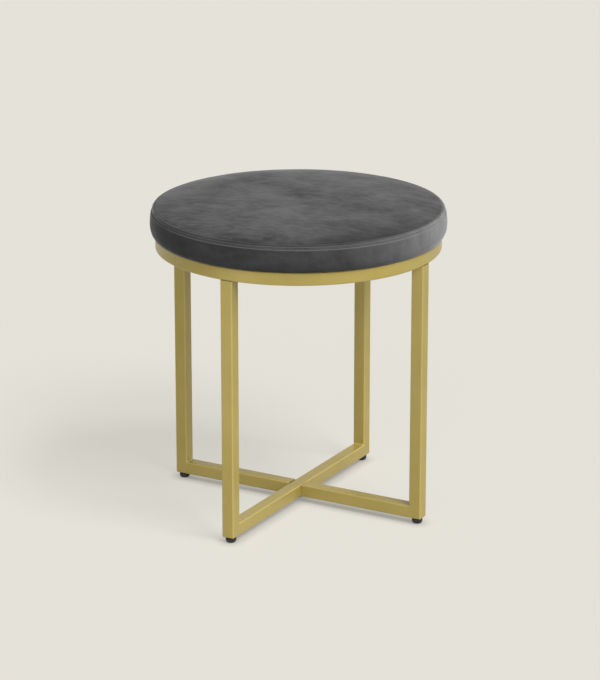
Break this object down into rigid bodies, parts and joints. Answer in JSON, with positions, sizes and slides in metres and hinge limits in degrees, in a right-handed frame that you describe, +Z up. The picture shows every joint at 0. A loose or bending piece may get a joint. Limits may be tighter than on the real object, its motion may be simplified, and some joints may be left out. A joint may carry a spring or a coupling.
{
  "type": "vanity stool",
  "caption": "Round vanity stool: padded velvet seat on a rolled square-tube ring, carried by U-shaped tube frames that cross in a half-lap, on screw-in levelling feet.",
  "frame": {"origin": "on the floor, under the middle of the seat", "axes": "+Z up; the through bar runs along Y with the front-left leg on -Y and the back-right leg on +Y; the lapped bar runs along X with the back-left leg on -X and the front-right leg on +X"},
  "size_m": [0.4316, 0.4316, 0.461],
  "materials": {
    "brass_finish": "satin brass-coloured coating on steel",
    "velvet": "short-pile charcoal velvet",
    "foam": "open-cell seat foam",
    "seat_board": "raw birch plywood",
    "dust_cover": "black non-woven cloth",
    "zinc_steel": "zinc-plated",
    "foot_plastic": "moulded black"
  },
  "bodies": {
    "stool": {"seat_board": "seat_board", "foam_pad": "foam", "cover_top_panel": "velvet", "cover_shoulder": "velvet", "cover_side_band": "velvet", "dust_cover": "dust_cover", "top_ring": "brass_finish", "through_bar": "brass_finish", "lapped_bar": "brass_finish", "leg_front_left": "brass_finish", "leg_front_right": "brass_finish", "leg_back_left": "brass_finish", "leg_back_right": "brass_finish", "ring_lug_front": "brass_finish", "ring_lug_right": "brass_finish", "ring_lug_back": "brass_finish", "ring_lug_left": "brass_finish", "seat_bolt_front": "zinc_steel", "seat_washer_front": "zinc_steel", "tee_nut_front": "zinc_steel", "seat_bolt_right": "zinc_steel", "seat_washer_right": "zinc_steel", "tee_nut_right": "zinc_steel", "seat_bolt_back": "zinc_steel", "seat_washer_back": "zinc_steel", "tee_nut_back": "zinc_steel", "seat_bolt_left": "zinc_steel", "seat_washer_left": "zinc_steel", "tee_nut_left": "zinc_steel", "leg_plug_front_left": "zinc_steel", "leg_bolt_front_left": "zinc_steel", "leg_washer_front_left": "zinc_steel", "foot_insert_front_left": "zinc_steel", "leg_plug_front_right": "zinc_steel", "leg_bolt_front_right": "zinc_steel", "leg_washer_front_right": "zinc_steel", "foot_insert_front_right": "zinc_steel", "leg_plug_back_left": "zinc_steel", "leg_bolt_back_left": "zinc_steel", "leg_washer_back_left": "zinc_steel", "foot_insert_back_left": "zinc_steel", "leg_plug_back_right": "zinc_steel", "leg_bolt_back_right": "zinc_steel", "leg_washer_back_right": "zinc_steel", "foot_insert_back_right": "zinc_steel", "cross_boss": "zinc_steel", "cross_screw": "zinc_steel", "cross_washer": "zinc_steel"},
    "foot_front_left": {"foot_pad_front_left": "foot_plastic", "foot_stud_front_left": "zinc_steel"},
    "foot_front_right": {"foot_pad_front_right": "foot_plastic", "foot_stud_front_right": "zinc_steel"},
    "foot_back_left": {"foot_pad_back_left": "foot_plastic", "foot_stud_back_left": "zinc_steel"},
    "foot_back_right": {"foot_pad_back_right": "foot_plastic", "foot_stud_back_right": "zinc_steel"}
  },
  "joints": [
    {"name": "level_foot_front_left", "type": "slide", "parent": "stool", "child": "foot_front_left", "axis": [0, 0, -1], "range_m": [0, 0.006]},
    {"name": "level_foot_front_right", "type": "slide", "parent": "stool", "child": "foot_front_right", "axis": [0, 0, -1], "range_m": [0, 0.006]},
    {"name": "level_foot_back_left", "type": "slide", "parent": "stool", "child": "foot_back_left", "axis": [0, 0, -1], "range_m": [0, 0.006]},
    {"name": "level_foot_back_right", "type": "slide", "parent": "stool", "child": "foot_back_right", "axis": [0, 0, -1], "range_m": [0, 0.006]}
  ]
}
